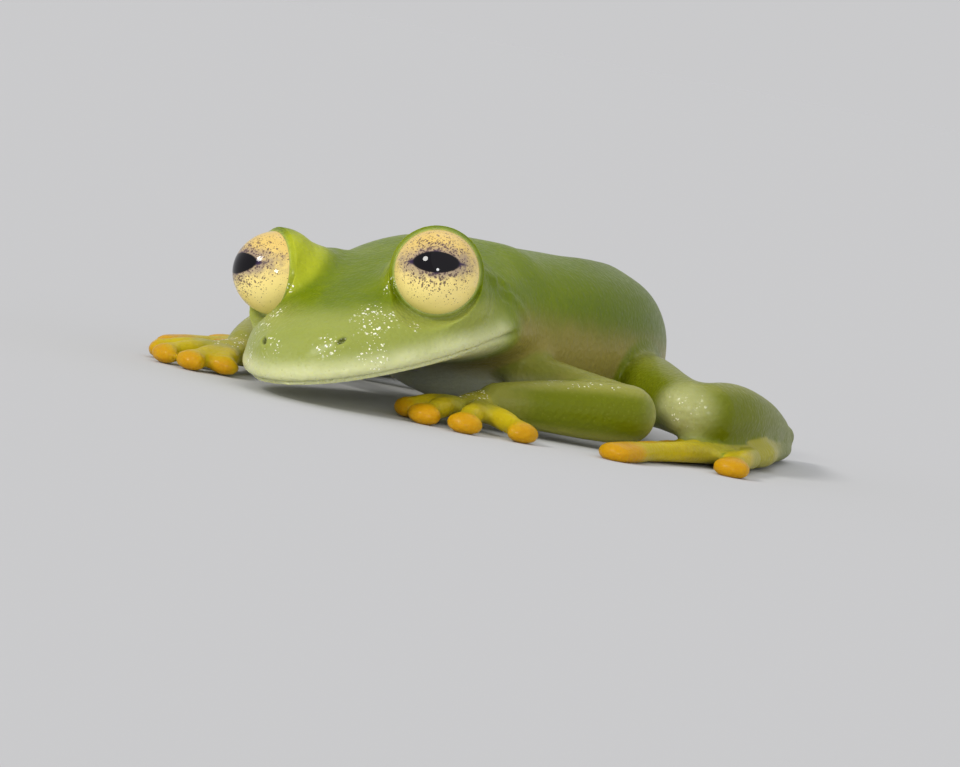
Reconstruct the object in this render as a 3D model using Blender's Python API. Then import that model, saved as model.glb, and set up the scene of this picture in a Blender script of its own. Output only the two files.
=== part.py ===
"""A glass frog at life size, crouched on a flat floor with its left hand beside its chin.

The frog faces -Y and its left side is +X. Sizes are in millimetres, measured from the snout's
tip and the body's midline, until a mesh is made in metres. The head and torso are one loft from
the snout to the vent, shaped straight and then bent at the neck. The limbs are tubes along
smooth paths, cut back where they meet, and all that touches the floor is cut flat there.
"""

import math

import bmesh
import bpy
import numpy as np
from mathutils import Matrix, Vector

MM = 0.001

# Driving sizes of the frog, in millimetres
SNOUT_VENT = 25.0
HEAD_LENGTH = 8.2
HEAD_HALF_WIDTH = 4.7
EYE_RADIUS = 1.55
EYE_FROM_MIDLINE = 3.35
GAP = 0.3

# How the straight body is bent at the neck: degrees of nose down, left side up and nose to the left
NECK = 9.5
NECK_HEIGHT = 3.15
HEAD_TURN = {"down": 15.5, "lean": 11.5, "left": 6.0}
TORSO_TURN = {"down": -3.0, "lean": 5.0, "left": 0.0}
NECK_BEND = (7.5, 12.5)

# The middle of the whole frog's box, left of the midline and behind the snout's tip
CENTRE = (0.2, 13.05)


def eased(x, start, end):
    """0 up to start, 1 from end, and a smooth step between."""
    t = np.clip((np.asarray(x, float) - start) / (end - start), 0, 1)
    return t * t * (3 - 2 * t)


def through(stations, x):
    """The height at x of a smooth line through stations of (place, height)."""
    place, height = np.array(stations, float).T
    slope = np.gradient(height, place)
    x = np.clip(np.asarray(x, float), place[0], place[-1])
    k = np.clip(np.searchsorted(place, x) - 1, 0, len(place) - 2)
    step = place[k + 1] - place[k]
    t = (x - place[k]) / step
    rise = t * t * (3 - 2 * t)
    lean = step * t * (1 - t) * ((1 - t) * slope[k] - t * slope[k + 1])
    return height[k] * (1 - rise) + height[k + 1] * rise + lean


def rounded_end(distance, radius):
    """0 at an end, rising as a quarter circle to 1 at radius from it."""
    t = np.clip(1 - np.asarray(distance, float) / radius, 0, 1)
    return np.sqrt(np.maximum(1 - t * t, 0))


# The outline of the straight body: (distance behind the snout's tip, size), in millimetres
WIDTH_STATIONS = ((8.2, 4.7), (10.5, 4.3), (13.0, 4.4), (16.0, 4.45), (19.0, 4.05), (21.5, 3.25),
                  (23.5, 2.35), (25.0, 1.6))
TOP_STATIONS = ((0.0, 1.4), (2.0, 2.1), (3.5, 2.5), (5.0, 2.85), (7.0, 3.15), (9.0, 3.25), (12.0, 3.35),
                (15.0, 3.45), (18.0, 3.5), (20.0, 3.45), (21.5, 3.2), (23.0, 2.65), (25.0, 1.5))
BOTTOM_STATIONS = ((0.0, 0.15), (2.0, 0.28), (4.0, 0.42), (6.0, 0.7), (8.0, 1.2), (10.0, 1.9), (13.0, 2.6),
                   (16.0, 2.85), (19.0, 2.6), (22.0, 1.9), (25.0, 1.2))
NOSE_RADIUS = 1.2
VENT_RADIUS = 2.0
SNOUT_BLUNTNESS = 2.3
HEAD_SQUARENESS = 2.3
BACK_SQUARENESS = 2.9
BELLY_SQUARENESS = 2.4

# The line of the mouth: how deep and high its groove is, and how far the upper lip stands over it
MOUTH_DEPTH = 0.3
MOUTH_HEIGHT = 0.16
MOUTH_CORNER = (7.0, HEAD_LENGTH)
LIP_OVERHANG = 0.05


def body_points(behind, turn):
    """Points of the straight body, behind the snout's tip, at a turn from its left side over its back.

    A section is a rounded square: a half width, a height above the mouth's plane and a depth under it.
    """
    along_head = np.clip(behind / HEAD_LENGTH, 0, 1)
    head = HEAD_HALF_WIDTH * np.sqrt(1 - (1 - along_head) ** SNOUT_BLUNTNESS)
    vent = rounded_end(SNOUT_VENT - behind, VENT_RADIUS)
    width = np.where(behind < HEAD_LENGTH, head, through(WIDTH_STATIONS, behind)) * vent
    nose = rounded_end(behind, NOSE_RADIUS) * vent
    top = through(TOP_STATIONS, behind) * nose
    bottom = through(BOTTOM_STATIONS, behind) * nose
    out, up = np.cos(turn), np.sin(turn)
    back = HEAD_SQUARENESS + (BACK_SQUARENESS - HEAD_SQUARENESS) * eased(behind, NECK, 15)
    squareness = np.where(up > 0, back, BELLY_SQUARENESS)
    mouth = 1 - eased(behind, *MOUTH_CORNER)
    width = width * (1 - np.where(up < 0, LIP_OVERHANG * mouth, 0))
    x = width * np.sign(out) * np.abs(out) ** (2 / squareness)
    z = np.where(up > 0, top, bottom) * np.sign(up) * np.abs(up) ** (2 / squareness)
    groove = MOUTH_DEPTH * mouth * np.exp(-((z / MOUTH_HEIGHT) ** 2))
    groove = groove * np.minimum(1, 1.5 * width / HEAD_HALF_WIDTH)
    x = x - np.sign(x) * np.minimum(groove, np.abs(x))
    return np.stack(np.broadcast_arrays(x, behind, z), axis=-1)


def turned(down, lean, left):
    """Turn matrices for a nose turned down, a left side turned up and a nose turned left, in degrees."""
    down, lean, left = (np.radians(np.asarray(a, float)) for a in (down, lean, left))
    one, none = np.ones_like(down), np.zeros_like(down)

    def matrix(*rows):
        return np.stack([np.stack(row, axis=-1) for row in rows], axis=-2)

    sine, cosine = np.sin((down, lean, left)), np.cos((down, lean, left))
    pitch = matrix((one, none, none), (none, cosine[0], -sine[0]), (none, sine[0], cosine[0]))
    roll = matrix((cosine[1], none, -sine[1]), (none, one, none), (sine[1], none, cosine[1]))
    yaw = matrix((cosine[2], -sine[2], none), (sine[2], cosine[2], none), (none, none, one))
    return yaw @ pitch @ roll


def posed(points):
    """Points of the straight body, bent at the neck and stood on the floor."""
    points = np.asarray(points, float)
    share = eased(points[..., 1], *NECK_BEND)
    angles = [HEAD_TURN[k] * (1 - share) + TORSO_TURN[k] * share for k in ("down", "lean", "left")]
    from_neck = points - (0, NECK, 0)
    moved = np.einsum("...ij,...j->...i", turned(*angles), from_neck)
    return moved + (0, NECK, NECK_HEIGHT)


def head_direction(direction):
    """A direction in the straight head, as it points once the head is posed."""
    return turned(HEAD_TURN["down"], HEAD_TURN["lean"], HEAD_TURN["left"]) @ np.asarray(direction, float)


def solid(name, points, faces):
    """A mesh object from points in millimetres, measured from the snout's tip."""
    placed = (np.asarray(points, float) - (CENTRE[0], CENTRE[1], 0)) * MM
    mesh = bpy.data.meshes.new(name)
    mesh.from_pydata(placed.tolist(), [], faces)
    mesh.validate()
    made = bpy.data.objects.new(name, mesh)
    bpy.context.scene.collection.objects.link(made)
    whole = bmesh.new()
    whole.from_mesh(mesh)
    bmesh.ops.recalc_face_normals(whole, faces=whole.faces)
    bmesh.ops.triangulate(whole, faces=whole.faces)
    whole.to_mesh(mesh)
    whole.free()
    return made


def closed_loft(name, rings, first=None, last=None):
    """A closed solid through rings of points. An end is a point, or flat where none is given."""
    rings = np.asarray(rings, float)
    count, sides = rings.shape[:2]
    points = [p for ring in rings for p in ring]
    faces = [
        (r * sides + k, r * sides + (k + 1) % sides, (r + 1) * sides + (k + 1) % sides, (r + 1) * sides + k)
        for r in range(count - 1)
        for k in range(sides)
    ]
    for end, start in ((first, 0), (last, (count - 1) * sides)):
        if end is None:
            end = rings[start // sides].mean(0)
        points.append(end)
        tip = len(points) - 1
        faces += [(start + k, start + (k + 1) % sides, tip) for k in range(sides)]
    return solid(name, points, faces)


def section_turns(quarter):
    """Turns round a body section, with quarter steps to each quarter, closest at the line of the mouth."""
    rising = math.pi / 2 * (np.arange(quarter) / quarter) ** 1.5
    upper = np.concatenate([rising, [math.pi / 2], math.pi - rising[:0:-1]])
    return np.concatenate([upper, upper + math.pi])


def tube(name, path, sizes, steps, sides, grown=0.0):
    """A closed tube with rounded ends along a smooth path, thicker and longer all round by grown.

    The path's ends are the tube's tips. Sizes are (share of the path, half width, half height).
    """
    path = np.array(path, float)
    for end, inner in ((0, 1), (-1, -2)):
        outward = path[end] - path[inner]
        path[end] += outward / np.linalg.norm(outward) * grown
    reached = np.concatenate([[0], np.cumsum(np.linalg.norm(np.diff(path, axis=0), axis=1))])
    shares = (1 - np.cos(np.linspace(0, math.pi, steps))) / 2
    along = shares * reached[-1]
    centres = np.stack([through(np.stack([reached, path[:, k]], 1), along) for k in range(3)], 1)
    forward = np.gradient(centres, axis=0)
    side = np.cross(forward, (0, 0, 1.0))
    side /= np.linalg.norm(side, axis=1)[:, None]
    rise = np.cross(side, forward)
    rise /= np.linalg.norm(rise, axis=1)[:, None]
    table = np.array(sizes, float) + (0, grown, grown)
    wide, tall = through(table[:, [0, 1]], shares), through(table[:, [0, 2]], shares)
    thickness = (wide + tall) / 2
    ends = rounded_end(along, thickness[0]) * rounded_end(reached[-1] - along, thickness[-1])
    turn = 2 * math.pi * np.arange(sides) / sides
    rings = (
        centres[:, None]
        + side[:, None] * ((wide * ends)[:, None] * np.cos(turn))[..., None]
        + rise[:, None] * ((tall * ends)[:, None] * np.sin(turn))[..., None]
    )
    return closed_loft(name, rings[1:-1], centres[0], centres[-1])


def settle(made):
    """Applies an object's modifiers and keeps its largest closed surface."""
    graph = bpy.context.evaluated_depsgraph_get()
    mesh = bpy.data.meshes.new_from_object(made.evaluated_get(graph))
    made.modifiers.clear()
    made.data = mesh
    whole = bmesh.new()
    whole.from_mesh(mesh)
    unseen = set(whole.verts)
    groups = []
    while unseen:
        group, edge = set(), [unseen.pop()]
        while edge:
            corner = edge.pop()
            group.add(corner)
            near = {e.other_vert(corner) for e in corner.link_edges} & unseen
            unseen -= near
            edge.extend(near)
        groups.append(group)
    groups.sort(key=len)
    loose = [corner for group in groups[:-1] for corner in group]
    bmesh.ops.delete(whole, geom=loose, context="VERTS")
    bmesh.ops.triangulate(whole, faces=whole.faces)
    whole.to_mesh(mesh)
    whole.free()


def combine(made, others, operation):
    """Joins or cuts made with closed solids, which are then removed."""
    tools = bpy.data.collections.new(made.name + "_tools")
    bpy.context.scene.collection.children.link(tools)
    for other in others:
        bpy.context.scene.collection.objects.unlink(other)
        tools.objects.link(other)
    step = made.modifiers.new(operation.title(), "BOOLEAN")
    step.operation = operation
    step.operand_type = "COLLECTION"
    step.collection = tools
    settle(made)
    for other in list(tools.objects):
        bpy.data.objects.remove(other)
    bpy.data.collections.remove(tools)


def swollen(made, by):
    """A copy of a solid grown by a distance along its normals."""
    copy = made.copy()
    copy.data = made.data.copy()
    bpy.context.scene.collection.objects.link(copy)
    count = len(copy.data.vertices)
    points, normals = np.empty(count * 3), np.empty(count * 3)
    copy.data.vertices.foreach_get("co", points)
    copy.data.vertex_normals.foreach_get("vector", normals)
    copy.data.vertices.foreach_set("co", points + normals * by * MM)
    copy.data.update()
    return copy


def cut_clear(made, bodies, tubes=()):
    """Cuts made back from bodies and from limb tubes, so that their faces meet across the gap."""
    cutters = [swollen(body, GAP) for body in bodies] + [tube(*shape, grown=GAP) for shape in tubes]
    combine(made, cutters, "DIFFERENCE")


def floor_block():
    """The space under the floor, which flattens what rests on it."""
    corners = [(x, y, z) for x in (-30, 30) for y in (-30, 50) for z in (-9, 0)]
    faces = [(0, 1, 3, 2), (4, 6, 7, 5), (0, 4, 5, 1), (2, 3, 7, 6), (0, 2, 6, 4), (1, 5, 7, 3)]
    return solid("floor_block", corners, faces)


# Colours of the living frog, and how smooth each surface is: colour, roughness
SKIN_GREEN = ((0.22, 0.36, 0.03), 0.35)
LIMB_OLIVE = ((0.36, 0.38, 0.07), 0.35)
HAND_YELLOW = ((0.55, 0.42, 0.03), 0.30)
EYE_GOLD = ((0.85, 0.66, 0.22), 0.15)


def finish(made, look, frog):
    """Gives an object its own material, its origin at its middle and its place in the whole frog."""
    colour, roughness = look
    material = bpy.data.materials.new(made.name)
    material.use_nodes = True
    shader = material.node_tree.nodes["Principled BSDF"]
    shader.inputs["Base Color"].default_value = (*colour, 1)
    shader.inputs["Roughness"].default_value = roughness
    shader.inputs["Metallic"].default_value = 0
    made.data.materials.clear()
    made.data.materials.append(material)
    made.data.shade_smooth()
    made.data.set_sharp_from_angle(angle=math.radians(50))
    middle = sum((Vector(corner) for corner in made.bound_box), Vector()) / 8
    made.data.transform(Matrix.Translation(-middle))
    made.location = middle
    made.parent = frog


# Head and torso: one loft, parted across the neck
NECK_CUT = 9.9
HEAD_RINGS = (0.05, 0.25, 0.6, 1.1, 1.7, 2.4, 3.2, 4.0, 4.8, 5.6, 6.4, 7.2, 8.0, 8.9)
TORSO_RINGS = (11.0, 12.2, 13.5, 15.0, 16.5, 18.0, 19.5, 21.0, 22.2, 23.2, 24.0, 24.6, 24.9)
SECTION_QUARTER = 9

# An eye bulges from a mound of skin whose rim is its lids, on a broad brow. It looks out from
# straight ahead, and up, by these degrees
EYE_BEHIND = 5.1
EYE_HEIGHT = 2.9
EYE_OUT = 29.0
EYE_UP = 17.0
LID_RADIUS = 1.85
SOCKET_RADIUS = 1.65
SOCKET_DEPTH = 0.35
SOCKET_FLARE = (3.0, 3.2)
BROW_RADIUS = 2.1
BROW_PLACE = (2.7, 5.7, 1.75)

# An ear drum is a shallow dome, part of a ball sunk in the head, and a nostril is a small pit
EAR_BEHIND = 8.2
EAR_TURN = math.radians(27)
EAR_RADIUS = 1.0
EAR_SUNK = 0.92
NOSTRIL_BEHIND = 0.95
NOSTRIL_TURN = math.radians(48)
NOSTRIL_RADIUS = 0.16


def eye_place(side):
    """Where an eye's middle is, and the way it looks, once the head is posed."""
    middle = posed((side * EYE_FROM_MIDLINE, EYE_BEHIND, EYE_HEIGHT))
    out, up = math.radians(EYE_OUT), math.radians(EYE_UP)
    ahead = (side * math.sin(out) * math.cos(up), -math.cos(out) * math.cos(up), math.sin(up))
    look = head_direction(ahead)
    return middle, look


def on_head(behind, turn, side):
    """A point on the posed head's surface, and the way out from it."""
    turn = turn if side > 0 else math.pi - turn
    here, along, across = (
        posed(body_points(np.float64(b), np.float64(t)))
        for b, t in ((behind, turn), (behind + 0.05, turn), (behind, turn + 0.02))
    )
    look = np.cross(across - here, along - here)
    look /= np.linalg.norm(look)
    inside = posed((0, behind, 0.5))
    return here, look * np.sign(np.dot(look, here - inside))


def turned_profile(name, middle, look, profile, sides):
    """A closed solid turned about a line of sight, from a profile of (forward, radius)."""
    side = np.cross(look, (0, 0, 1.0))
    side /= np.linalg.norm(side)
    rise = np.cross(side, look)
    turn = 2 * math.pi * np.arange(sides) / sides
    ring = side[None] * np.cos(turn)[:, None] + rise[None] * np.sin(turn)[:, None]
    rings = [middle + look * forward + ring * radius for forward, radius in profile]
    return closed_loft(name, rings)


def arc(radius, start, end, count):
    """(forward, radius) pairs along an arc, from one angle off the line of sight to another, in degrees."""
    angles = np.radians(np.linspace(start, end, count))
    return [(radius * math.cos(a), radius * math.sin(a)) for a in angles]


def ball(name, middle, look, radius, steps, sides):
    """A ball whose poles lie on a line of sight."""
    return turned_profile(name, middle, look, arc(radius, 172, 8, steps), sides)


def body_rings(places):
    """Rings of the bent body at places behind the snout's tip."""
    turns = section_turns(SECTION_QUARTER)
    return [posed(body_points(np.float64(b), turns)) for b in places]


def build_head():
    snout = posed((0, 0, 0))
    head = closed_loft("head", body_rings((*HEAD_RINGS, NECK_CUT - GAP / 2)), snout)
    raised, hollows = [], []
    for side in (1, -1):
        middle, look = eye_place(side)
        brow = posed((side * BROW_PLACE[0], *BROW_PLACE[1:]))
        socket = [(0.0, SOCKET_RADIUS), (SOCKET_DEPTH, SOCKET_RADIUS), SOCKET_FLARE]
        raised.append(ball("lids", middle, look, LID_RADIUS, 11, 20))
        raised.append(ball("brow", brow, look, BROW_RADIUS, 10, 18))
        hollows.append(turned_profile("socket", middle, look, socket, 24))
        ear, outward = on_head(EAR_BEHIND, EAR_TURN, side)
        raised.append(ball("ear_drum", ear - outward * EAR_SUNK, outward, EAR_RADIUS, 8, 14))
        nostril, outward = on_head(NOSTRIL_BEHIND, NOSTRIL_TURN, side)
        hollows.append(ball("nostril", nostril, outward, NOSTRIL_RADIUS, 6, 8))
    combine(head, raised, "UNION")
    combine(head, hollows, "DIFFERENCE")
    return head


def build_eye(name, side):
    """An eyeball's front, a gap above the floor of its socket."""
    middle, look = eye_place(side)
    seat_angle = math.degrees(math.acos(GAP / EYE_RADIUS))
    return turned_profile(name, middle, look, arc(EYE_RADIUS, seat_angle, 6, 8), 24)


def build_torso():
    vent = posed((0, SNOUT_VENT, 0))
    return closed_loft("torso", body_rings((NECK_CUT + GAP / 2, *TORSO_RINGS)), None, vent)


# Joints of the limbs: left of the midline, behind the snout's tip and above the floor
ARM = {
    "left": {
        "shoulder": (3.0, 10.9, 2.1),
        "elbow": (8.4, 12.9, 1.45),
        "wrist": (3.8, 8.2, 1.05),
        "fingers": ((2.6, 4.7), (4.3, 3.6), (6.0, 3.9), (7.6, 5.9)),
    },
    "right": {
        "shoulder": (-3.0, 10.9, 1.9),
        "elbow": (-7.9, 12.3, 1.35),
        "wrist": (-5.5, 6.6, 0.95),
        "fingers": ((-4.4, 3.5), (-5.4, 2.5), (-6.9, 2.8), (-8.4, 4.4)),
    },
}
LEG = {
    "left": {
        "hip": (1.9, 21.3, 2.0),
        "knee": (9.4, 14.2, 1.85),
        "heel": (6.8, 25.8, 1.05),
        "instep": (10.0, 18.8, 0.62),
        "toes": ((8.2, 15.4), (8.7, 13.1), (9.3, 10.5), (9.9, 7.6), (12.2, 12.4)),
    },
    "right": {
        "hip": (-1.9, 21.3, 1.9),
        "knee": (-9.3, 13.9, 1.7),
        "heel": (-6.8, 25.6, 1.0),
        "instep": (-10.1, 18.8, 0.62),
        "toes": ((-8.0, 15.4), (-8.7, 13.0), (-9.5, 10.5), (-10.3, 7.9), (-11.7, 12.8)),
    },
}

# How thick each length of limb is: share of its length, half width, half height
UPPER_ARM_SIZES = ((0.0, 0.9, 0.9), (0.5, 0.8, 0.8), (1.0, 0.85, 0.85))
FOREARM_SIZES = ((0.0, 1.05, 1.08), (0.3, 1.0, 1.05), (0.65, 0.85, 0.85), (1.0, 0.64, 0.62))
THIGH_SIZES = ((0.0, 1.1, 1.1), (0.4, 1.35, 1.25), (0.8, 1.15, 1.15), (1.0, 1.05, 1.1))
SHANK_SIZES = ((0.0, 1.15, 1.2), (0.3, 1.2, 1.2), (0.7, 0.85, 0.85), (1.0, 0.7, 0.7))
TARSUS_SIZES = ((0.0, 0.75, 0.7), (0.5, 0.6, 0.55), (1.0, 0.7, 0.5))


def bowed(start, end, by):
    """A path from start to end, bowed by an offset at its middle."""
    start, end, by = (np.array(p, float) for p in (start, end, by))
    return [start + (end - start) * t + by * 4 * t * (1 - t) for t in (0, 0.25, 0.5, 0.75, 1)]


# Fingers and toes: half the width of a shaft and of the disc at its tip, half their height, and
# how high the tip and the palm lie
FINGER_HALF_WIDTH = 0.46
TOE_HALF_WIDTH = 0.38
DISC_HALF_WIDTH = 0.66
DIGIT_HALF_HEIGHT = 0.4
DISC_HEIGHT = 0.25
PALM_HALF_WIDTH = 0.8
PALM_HEIGHT = 0.72
PALM_LENGTH = 1.3
SOLE_HEIGHT = 0.5
SOLE_LENGTH = 1.6


def digit(root, tip, half_width):
    """A finger or toe that arches from its root to a broad disc flat on the floor."""
    root, tip = np.array(root, float), np.array((*tip, DISC_HEIGHT))
    middle = (root + tip) / 2 + (0, 0, 0.1)
    sizes = (
        (0.0, half_width * 1.15, DIGIT_HALF_HEIGHT * 1.1),
        (0.45, half_width, DIGIT_HALF_HEIGHT),
        (0.72, half_width, DIGIT_HALF_HEIGHT * 0.95),
        (0.86, DISC_HALF_WIDTH, DIGIT_HALF_HEIGHT),
        (1.0, DISC_HALF_WIDTH, DIGIT_HALF_HEIGHT * 0.95),
    )
    return tube("digit", [root, middle, tip], sizes, 11, 10)


def build_palm(name, start, length, height, tips, half_width):
    """A hand or a foot: a flat palm towards the middle digits' tips, with the digits fused to it."""
    start, tips = np.array(start, float), np.array(tips)
    ahead = tips[1:3].mean(0) - start[:2] if len(tips) == 4 else tips[2:4].mean(0) - start[:2]
    ahead /= np.linalg.norm(ahead)
    palm = np.array((*(start[:2] + ahead * length), height))
    sizes = ((0.0, 0.6, 0.55), (0.5, PALM_HALF_WIDTH * 0.9, 0.5), (1.0, PALM_HALF_WIDTH, 0.42))
    made = tube(name, [start, (start + palm) / 2, palm + (palm - start) * 0.25], sizes, 9, 12)
    across = np.array((-ahead[1], ahead[0]))
    digits = []
    for tip in tips:
        aside = np.clip(np.dot(tip - palm[:2], across), -1, 1) * PALM_HALF_WIDTH * 0.6
        digits.append(digit(palm + (*(across * aside), 0), tip, half_width))
    combine(made, digits, "UNION")
    return made


def build_arm(side, head, torso):
    joints = ARM[side]
    wrist = np.array(joints["wrist"])
    upper_path = bowed(joints["shoulder"], joints["elbow"], (0, -0.3, 0.1))
    forearm_path = bowed(joints["elbow"], wrist, (0, -0.35, 0.05))
    upper_shape = (f"upper_arm_{side}", upper_path, UPPER_ARM_SIZES, 9, 14)
    forearm_shape = (f"forearm_{side}", forearm_path, FOREARM_SIZES, 11, 16)
    upper, forearm = tube(*upper_shape), tube(*forearm_shape)
    hand = build_palm(
        f"hand_{side}", wrist - (0, 0, 0.25), PALM_LENGTH, PALM_HEIGHT, joints["fingers"], FINGER_HALF_WIDTH
    )
    cut_clear(upper, [head, torso])
    cut_clear(forearm, [head, torso], [upper_shape])
    cut_clear(hand, [head, torso], [forearm_shape])
    return [upper, forearm, hand]


def build_leg(side, torso):
    joints = LEG[side]
    out = 1 if side == "left" else -1
    heel, instep = np.array(joints["heel"]), np.array(joints["instep"])
    thigh_path = bowed(joints["hip"], joints["knee"], (0, -0.4, 0.1))
    shank_path = bowed(joints["knee"], heel, (0.4 * out, 0, 0.2))
    tarsus_path = bowed(heel - (0, 0, 0.35), instep, (0, 0, 0))
    thigh_shape = (f"thigh_{side}", thigh_path, THIGH_SIZES, 13, 18)
    shank_shape = (f"shank_{side}", shank_path, SHANK_SIZES, 13, 16)
    tarsus_shape = (f"tarsus_{side}", tarsus_path, TARSUS_SIZES, 9, 12)
    thigh, shank, tarsus = tube(*thigh_shape), tube(*shank_shape), tube(*tarsus_shape)
    foot = build_palm(f"foot_{side}", instep, SOLE_LENGTH, SOLE_HEIGHT, joints["toes"], TOE_HALF_WIDTH)
    cut_clear(thigh, [torso])
    cut_clear(shank, [torso], [thigh_shape])
    cut_clear(tarsus, [], [shank_shape])
    cut_clear(foot, [], [tarsus_shape, shank_shape, thigh_shape])
    return [thigh, shank, tarsus, foot]


def main():
    for old in list(bpy.data.objects):
        bpy.data.objects.remove(old)
    head, torso = build_head(), build_torso()
    combine(torso, [floor_block()], "DIFFERENCE")
    limbs = [build_arm(side, head, torso) for side in ("left", "right")]
    limbs += [build_leg(side, torso) for side in ("left", "right")]
    frog = bpy.data.objects.new("glass_frog", None)
    bpy.context.scene.collection.objects.link(frog)
    finish(head, SKIN_GREEN, frog)
    finish(torso, SKIN_GREEN, frog)
    for name, side in (("eye_left", 1), ("eye_right", -1)):
        finish(build_eye(name, side), EYE_GOLD, frog)
    for limb in limbs:
        for made in limb:
            combine(made, [floor_block()], "DIFFERENCE")
            finish(made, HAND_YELLOW if made is limb[-1] else LIMB_OLIVE, frog)


main()
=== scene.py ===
"""The looks of a life-size glass frog, a still model that crouches on a pale floor.

Sizes are in millimetres, measured from the snout's tip and the body's midline, until a mesh is
made in metres. The frog faces -Y and its left side is +X.
"""

import math

import bmesh
import bpy
import numpy as np
from mathutils import Matrix, Vector


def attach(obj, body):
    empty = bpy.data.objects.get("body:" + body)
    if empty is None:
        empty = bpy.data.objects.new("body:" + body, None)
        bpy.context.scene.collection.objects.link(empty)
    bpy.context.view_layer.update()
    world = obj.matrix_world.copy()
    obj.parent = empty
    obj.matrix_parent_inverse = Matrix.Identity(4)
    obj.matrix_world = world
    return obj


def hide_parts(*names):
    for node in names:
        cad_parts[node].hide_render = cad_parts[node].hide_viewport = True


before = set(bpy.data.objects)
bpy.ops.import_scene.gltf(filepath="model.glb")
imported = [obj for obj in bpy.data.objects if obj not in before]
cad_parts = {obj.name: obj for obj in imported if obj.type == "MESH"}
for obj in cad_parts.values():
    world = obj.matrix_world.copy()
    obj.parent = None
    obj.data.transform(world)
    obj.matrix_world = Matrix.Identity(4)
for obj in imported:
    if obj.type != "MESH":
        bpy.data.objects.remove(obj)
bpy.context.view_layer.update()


# The body: a broad, flat head and a slim trunk, cast as one piece with the limbs. It is shaped
# straight, in rings from the snout to the vent, and then bent at the neck into the frog's pose.

SNOUT_VENT = 25
HEAD_LENGTH = 8.2
HEAD_HALF_WIDTH = 4.7
# The neck's place, its height over the floor, and where its bend starts and ends
NECK = 9.5
NECK_HEIGHT = 3.15
NECK_BEND = (7.5, 12.5)
# Degrees that the nose is turned down, the left side is turned up and the nose is turned left
HEAD_TURN = {"down": 15.5, "lean": 11.5, "left": 6}
TORSO_TURN = {"down": -3, "lean": 5, "left": 0}
# Half the width, the back's height over the mouth's plane and the belly's depth under it, each
# after its distance behind the snout's tip
WIDTH_STATIONS = (
    (HEAD_LENGTH, HEAD_HALF_WIDTH), (10.5, 4.3), (13, 4.4), (16, 4.45), (19, 4.05),
    (21.5, 3.25), (23.5, 2.35), (SNOUT_VENT, 1.6),
)
TOP_STATIONS = (
    (0, 1.4), (2, 2.1), (3.5, 2.5), (5, 2.85), (7, 3.15), (9, 3.25), (12, 3.35),
    (15, 3.45), (18, 3.5), (20, 3.45), (21.5, 3.2), (23, 2.65), (SNOUT_VENT, 1.5),
)
BOTTOM_STATIONS = (
    (0, 0.1), (2, 0.17), (4, 0.32), (6, 0.64), (8, 1.2), (10, 1.9), (13, 2.6),
    (16, 2.85), (19, 2.6), (22, 1.9), (SNOUT_VENT, 1.2),
)
NOSE_RADIUS = 1.2
VENT_RADIUS = 2
SNOUT_BLUNTNESS = 2.3
# How square sections are, where 2 is an oval, and where the head's changes to the back's
HEAD_SQUARENESS = 2.3
BACK_SQUARENESS = 2.9
BELLY_SQUARENESS = 2.4
BACK_STARTS = (NECK, 15)
# The mouth's corner, and the share by which the upper lip overhangs the lower one
MOUTH_CORNER = (7, HEAD_LENGTH)
LIP_OVERHANG = 0.05
BODY_RINGS = 170
BODY_SIDES = 120


def eased(x, start, end):
    """0 up to start, 1 from end, and between them 3 t squared less 2 t cubed."""
    t = np.clip((np.asarray(x, float) - start) / (end - start), 0, 1)
    return t * t * (3 - 2 * t)


def hump(x, middle, width):
    """A bell curve: e to the power of minus the square of the distance from middle over width."""
    return np.exp(-(((x - middle) / width) ** 2))


def through(stations, x):
    """The height at x of a smooth line through stations of (place, height).

    Between two stations the height is eased from one to the other, by 3 t squared less 2 t cubed,
    plus step t (1 - t) times the first one's slope times (1 - t), less the second one's times t.
    """
    place, height = np.array(stations, float).T
    slope = np.gradient(height, place)
    x = np.clip(np.asarray(x, float), place[0], place[-1])
    k = np.clip(np.searchsorted(place, x) - 1, 0, len(place) - 2)
    step = place[k + 1] - place[k]
    t = (x - place[k]) / step
    rise = t * t * (3 - 2 * t)
    lean = step * t * (1 - t) * ((1 - t) * slope[k] - t * slope[k + 1])
    return height[k] * (1 - rise) + height[k + 1] * rise + lean


def rounded_end(distance, radius):
    """0 at an end, rising as a quarter circle to 1 at radius from it."""
    t = np.clip(1 - np.asarray(distance, float) / radius, 0, 1)
    return np.sqrt(np.maximum(1 - t * t, 0))


def head_half_width(behind):
    """Half the head's width: its most, times the root of 1 less what is left of it to a power."""
    left = 1 - np.clip(behind / HEAD_LENGTH, 0, 1)
    return HEAD_HALF_WIDTH * np.sqrt(1 - left**SNOUT_BLUNTNESS)


def body_points(behind, turn):
    """Points of the straight body, at distances behind the snout's tip and turns from its left
    side over its back.

    Sideways it is width times cos(turn) to the power 2 / squareness, and upwards the same of
    sin(turn) times the height over the mouth's plane or the depth under it.
    """
    vent = rounded_end(SNOUT_VENT - behind, VENT_RADIUS)
    nose = rounded_end(behind, NOSE_RADIUS) * vent
    trunk = through(WIDTH_STATIONS, behind)
    width = np.where(behind < HEAD_LENGTH, head_half_width(behind), trunk) * vent
    top = through(TOP_STATIONS, behind) * nose
    bottom = through(BOTTOM_STATIONS, behind) * nose
    out, up = np.cos(turn), np.sin(turn)
    back = HEAD_SQUARENESS + (BACK_SQUARENESS - HEAD_SQUARENESS) * eased(behind, *BACK_STARTS)
    squareness = np.where(up > 0, back, BELLY_SQUARENESS)
    mouth = 1 - eased(behind, *MOUTH_CORNER)
    width = width * (1 - np.where(up < 0, LIP_OVERHANG * mouth, 0))
    x = width * np.sign(out) * np.abs(out) ** (2 / squareness)
    z = np.where(up > 0, top, bottom) * np.sign(up) * np.abs(up) ** (2 / squareness)
    return np.stack(np.broadcast_arrays(x, behind, z), axis=-1)


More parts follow.
